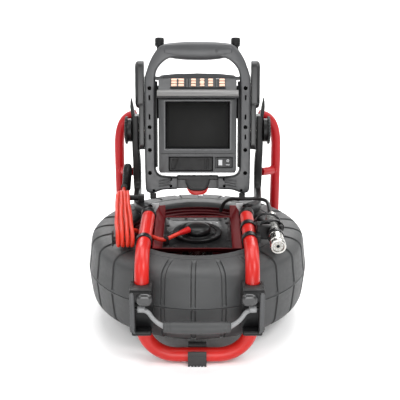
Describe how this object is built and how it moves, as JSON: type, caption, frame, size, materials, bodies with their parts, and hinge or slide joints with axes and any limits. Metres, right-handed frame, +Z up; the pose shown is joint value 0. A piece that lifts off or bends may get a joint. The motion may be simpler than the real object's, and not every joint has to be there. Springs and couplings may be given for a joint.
{
  "type": "inspection camera",
  "caption": "Drain inspection camera: cable drum in a red tube frame, with a tilting monitor dock, camera head, carry handle and wrapped lead.",
  "frame": {"origin": "centre of the footprint, on the ground under the feet", "axes": "+Z up, -Y towards the user in front of the screen, +X to the right seen from the front"},
  "size_m": [0.424, 0.4704, 0.5084],
  "materials": {
    "red_paint": "gloss",
    "dark_red_paint": "satin",
    "drum_plastic": "satin",
    "dock_plastic": "satin",
    "black_plastic": "satin",
    "case_plastic": "satin",
    "rubber": "matte",
    "screen_glass": "gloss",
    "steel": "brushed",
    "light_metal": "satin",
    "cable_jacket": "satin",
    "push_cable_jacket": "satin",
    "circuit_board": "satin",
    "key_rubber": "matte"
  },
  "bodies": {
    "frame": {"front_tube": "red_paint", "rear_tube": "red_paint", "left_leg": "black_plastic", "right_leg": "black_plastic", "front_foot": "rubber", "rear_foot_left": "rubber", "rear_foot_right": "rubber", "axle": "steel", "lower_bearing": "steel", "upper_bearing": "steel", "hub_tray": "dark_red_paint", "hub_cover_panel": "black_plastic", "slip_ring_body": "black_plastic", "slip_ring_cap": "black_plastic", "left_gusset_plate": "light_metal", "right_gusset_plate": "light_metal", "left_handle_bracket": "black_plastic", "right_handle_bracket": "black_plastic", "left_handle_pin": "steel", "right_handle_pin": "steel", "left_pivot_bolt": "steel", "right_pivot_bolt": "steel", "camera_head": "steel", "camera_window": "screen_glass", "camera_spring": "steel", "camera_clip": "black_plastic", "push_cable": "push_cable_jacket", "cable_hank": "cable_jacket", "system_cable_lead": "cable_jacket", "system_cable_tail": "cable_jacket", "plug_boot": "rubber", "cable_plug": "black_plastic", "lower_wrap_hook": "black_plastic", "lead_clip": "black_plastic"},
    "drum": {"drum_upper_shell": "drum_plastic", "drum_lower_shell": "drum_plastic", "drum_spool": "black_plastic", "push_cable_coil": "push_cable_jacket"},
    "front_handle": {"front_handle": "dock_plastic"},
    "left_knob": {"left_clamp_knob": "black_plastic"},
    "right_knob": {"right_clamp_knob": "black_plastic"},
    "dock": {"dock_frame": "dock_plastic", "dock_back_plate": "black_plastic", "left_dock_arm": "case_plastic", "right_dock_arm": "case_plastic", "left_cap_post": "black_plastic", "right_cap_post": "black_plastic", "left_dock_foot": "rubber", "right_dock_foot": "rubber", "latch_block": "black_plastic"},
    "latch_button": {"latch_release": "red_paint"},
    "monitor": {"monitor_rear_case": "case_plastic", "monitor_bezel": "case_plastic", "screen_glass": "screen_glass", "display_panel": "black_plastic", "circuit_board": "circuit_board", "keypad_housing": "case_plastic", "keypad": "key_rubber"},
    "battery": {"battery_pack": "black_plastic"},
    "port_cover": {"port_cover": "rubber"}
  },
  "joints": [
    {"name": "drum_spin", "type": "hinge", "parent": "frame", "child": "drum", "pos_m": [0, 0.0145, 0.108], "axis": [0, 0, 1], "continuous": true},
    {"name": "dock_tilt", "type": "hinge", "parent": "frame", "child": "dock", "pos_m": [0, 0.1645, 0.329], "axis": [1, 0, 0], "range_deg": [-15, 13]},
    {"name": "left_knob_turn", "type": "hinge", "parent": "frame", "child": "left_knob", "pos_m": [-0.1405, 0.1645, 0.329], "axis": [1, 0, 0], "range_deg": [-180, 180]},
    {"name": "right_knob_turn", "type": "hinge", "parent": "frame", "child": "right_knob", "pos_m": [0.1405, 0.1645, 0.329], "axis": [1, 0, 0], "range_deg": [-180, 180]},
    {"name": "handle_lift", "type": "hinge", "parent": "frame", "child": "front_handle", "pos_m": [0, -0.2155, 0.119], "axis": [-1, 0, 0], "range_deg": [0, 110]},
    {"name": "monitor_release", "type": "slide", "parent": "dock", "child": "monitor", "axis": [0, -0.9744, 0.225], "range_m": [0, 0.06]},
    {"name": "battery_slide", "type": "slide", "parent": "monitor", "child": "battery", "axis": [0, -0.9744, 0.225], "range_m": [0, 0.045]},
    {"name": "port_cover_hinge", "type": "hinge", "parent": "monitor", "child": "port_cover", "pos_m": [0.0402, 0.11806, 0.27455], "axis": [0, -0.225, -0.9744], "range_deg": [0, 110]},
    {"name": "latch_press", "type": "slide", "parent": "dock", "child": "latch_button", "axis": [0, -0.225, -0.9744], "range_m": [0, 0.003], "stiffness_N_per_m": 800}
  ]
}
